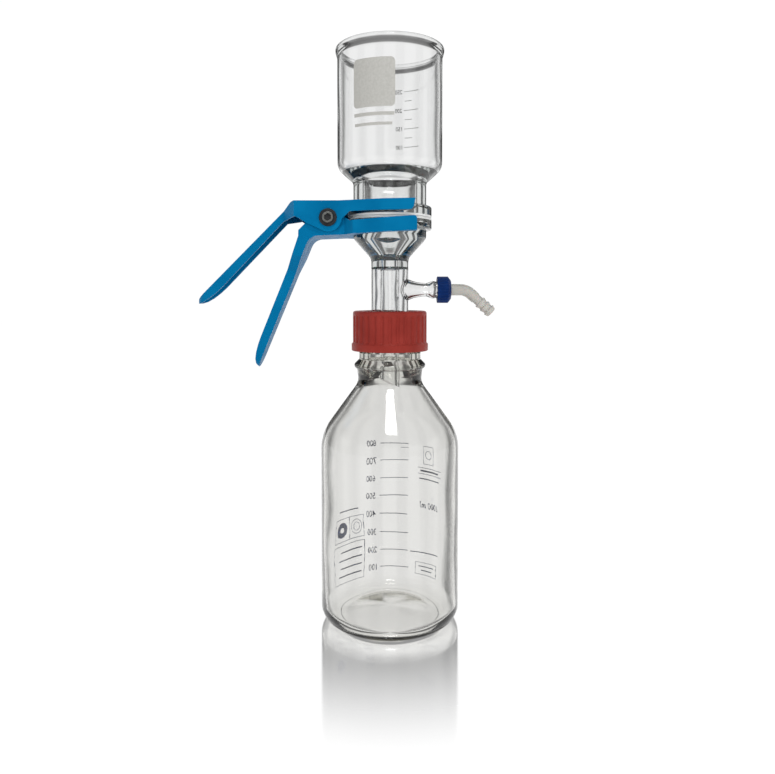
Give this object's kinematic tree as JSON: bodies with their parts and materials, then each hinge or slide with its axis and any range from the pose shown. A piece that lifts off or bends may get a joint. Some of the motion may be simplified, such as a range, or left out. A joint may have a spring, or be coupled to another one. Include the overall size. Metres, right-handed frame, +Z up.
{
  "type": "vacuum filtration flask",
  "caption": "Glass vacuum filter holder for membrane discs: funnel clamped to a fritted base with side arm, screwed on a graduated bottle.",
  "frame": {"origin": "centre of the bottle's contact ring on the bench", "axes": "+Z up along the glass axis, +X along the vacuum side arm, -X towards the clamp's handles, -Y towards the front of the clamp's pivot screw"},
  "size_m": [0.2165, 0.101, 0.416],
  "materials": {
    "borosilicate_glass": "clear, fire polished",
    "cap_red": "satin moulded",
    "cap_blue": "satin moulded",
    "seal_silicone": "translucent matt",
    "ptfe": "waxy",
    "sintered_glass": "granular",
    "membrane": "matt",
    "nozzle_polypropylene": "natural, slightly translucent",
    "anodised_blue": "blue anodised",
    "spring_steel": "bright",
    "black_steel": "black oxide",
    "nylon": "natural"
  },
  "bodies": {
    "bottle": {"bottle": "borosilicate_glass"},
    "closure_seal": {"stem_seal": "seal_silicone", "seal_washer": "ptfe"},
    "closure": {"screw_cap": "cap_red"},
    "base": {"filter_base": "borosilicate_glass", "frit_disc": "sintered_glass", "membrane_filter": "membrane"},
    "funnel": {"funnel": "borosilicate_glass"},
    "port_seat": {"port_seal": "seal_silicone"},
    "port_closure": {"port_cap": "cap_blue"},
    "nozzle": {"hose_nozzle": "nozzle_polypropylene"},
    "clamp_pivot": {"pivot_screw": "black_steel", "pivot_sleeve": "spring_steel", "pivot_nut": "black_steel", "front_washer": "black_steel", "back_washer": "black_steel", "thrust_washers": "nylon", "clamp_spring": "spring_steel"},
    "upper_arm": {"clamp_upper_arm": "anodised_blue"},
    "lower_arm": {"clamp_lower_arm": "anodised_blue"}
  },
  "joints": [
    {"name": "closure_rise", "type": "slide", "parent": "bottle", "child": "closure_seal", "axis": [0, 0, 1], "range_m": [0, 0.005]},
    {"name": "closure_turn", "type": "hinge", "parent": "closure_seal", "child": "closure", "pos_m": [0, 0, 0.21], "axis": [0, 0, 1], "range_deg": [0, 450.1]},
    {"name": "base_lift", "type": "slide", "parent": "bottle", "child": "base", "axis": [0, 0, 1], "range_m": [0, 0.06]},
    {"name": "funnel_swivel", "type": "hinge", "parent": "base", "child": "funnel", "pos_m": [0, 0, 0.294], "axis": [0, 0, 1], "range_deg": [-145, 145]},
    {"name": "port_travel", "type": "slide", "parent": "base", "child": "port_seat", "axis": [1, 0, 0], "range_m": [0, 0.005]},
    {"name": "port_cap_turn", "type": "hinge", "parent": "port_seat", "child": "port_closure", "pos_m": [0.04, 0, 0.2424], "axis": [1, 0, 0], "range_deg": [0, 720.1]},
    {"name": "nozzle_swivel", "type": "hinge", "parent": "port_seat", "child": "nozzle", "pos_m": [0.045, 0, 0.2424], "axis": [1, 0, 0], "continuous": true},
    {"name": "clamp_slide_off", "type": "slide", "parent": "funnel", "child": "clamp_pivot", "axis": [-1, 0, 0], "range_m": [0, 0.06]},
    {"name": "clamp_upper_open", "type": "hinge", "parent": "clamp_pivot", "child": "upper_arm", "pos_m": [-0.0434, 0, 0.2929], "axis": [0, -1, 0], "range_deg": [0, 12], "stiffness_Nm_per_rad": 0.6, "springref_deg": -28.65, "deforming": ["clamp_spring"]},
    {"name": "clamp_lower_open", "type": "hinge", "parent": "clamp_pivot", "child": "lower_arm", "pos_m": [-0.0434, 0, 0.2929], "axis": [0, -1, 0], "range_deg": [-12, 0]}
  ],
  "couplings": [
    {"joint": "closure_turn", "follows": "closure_rise", "rad_per_m": 1570.8},
    {"joint": "port_cap_turn", "follows": "port_travel", "rad_per_m": 2513.3},
    {"joint": "clamp_lower_open", "follows": "clamp_upper_open", "ratio": -1}
  ]
}
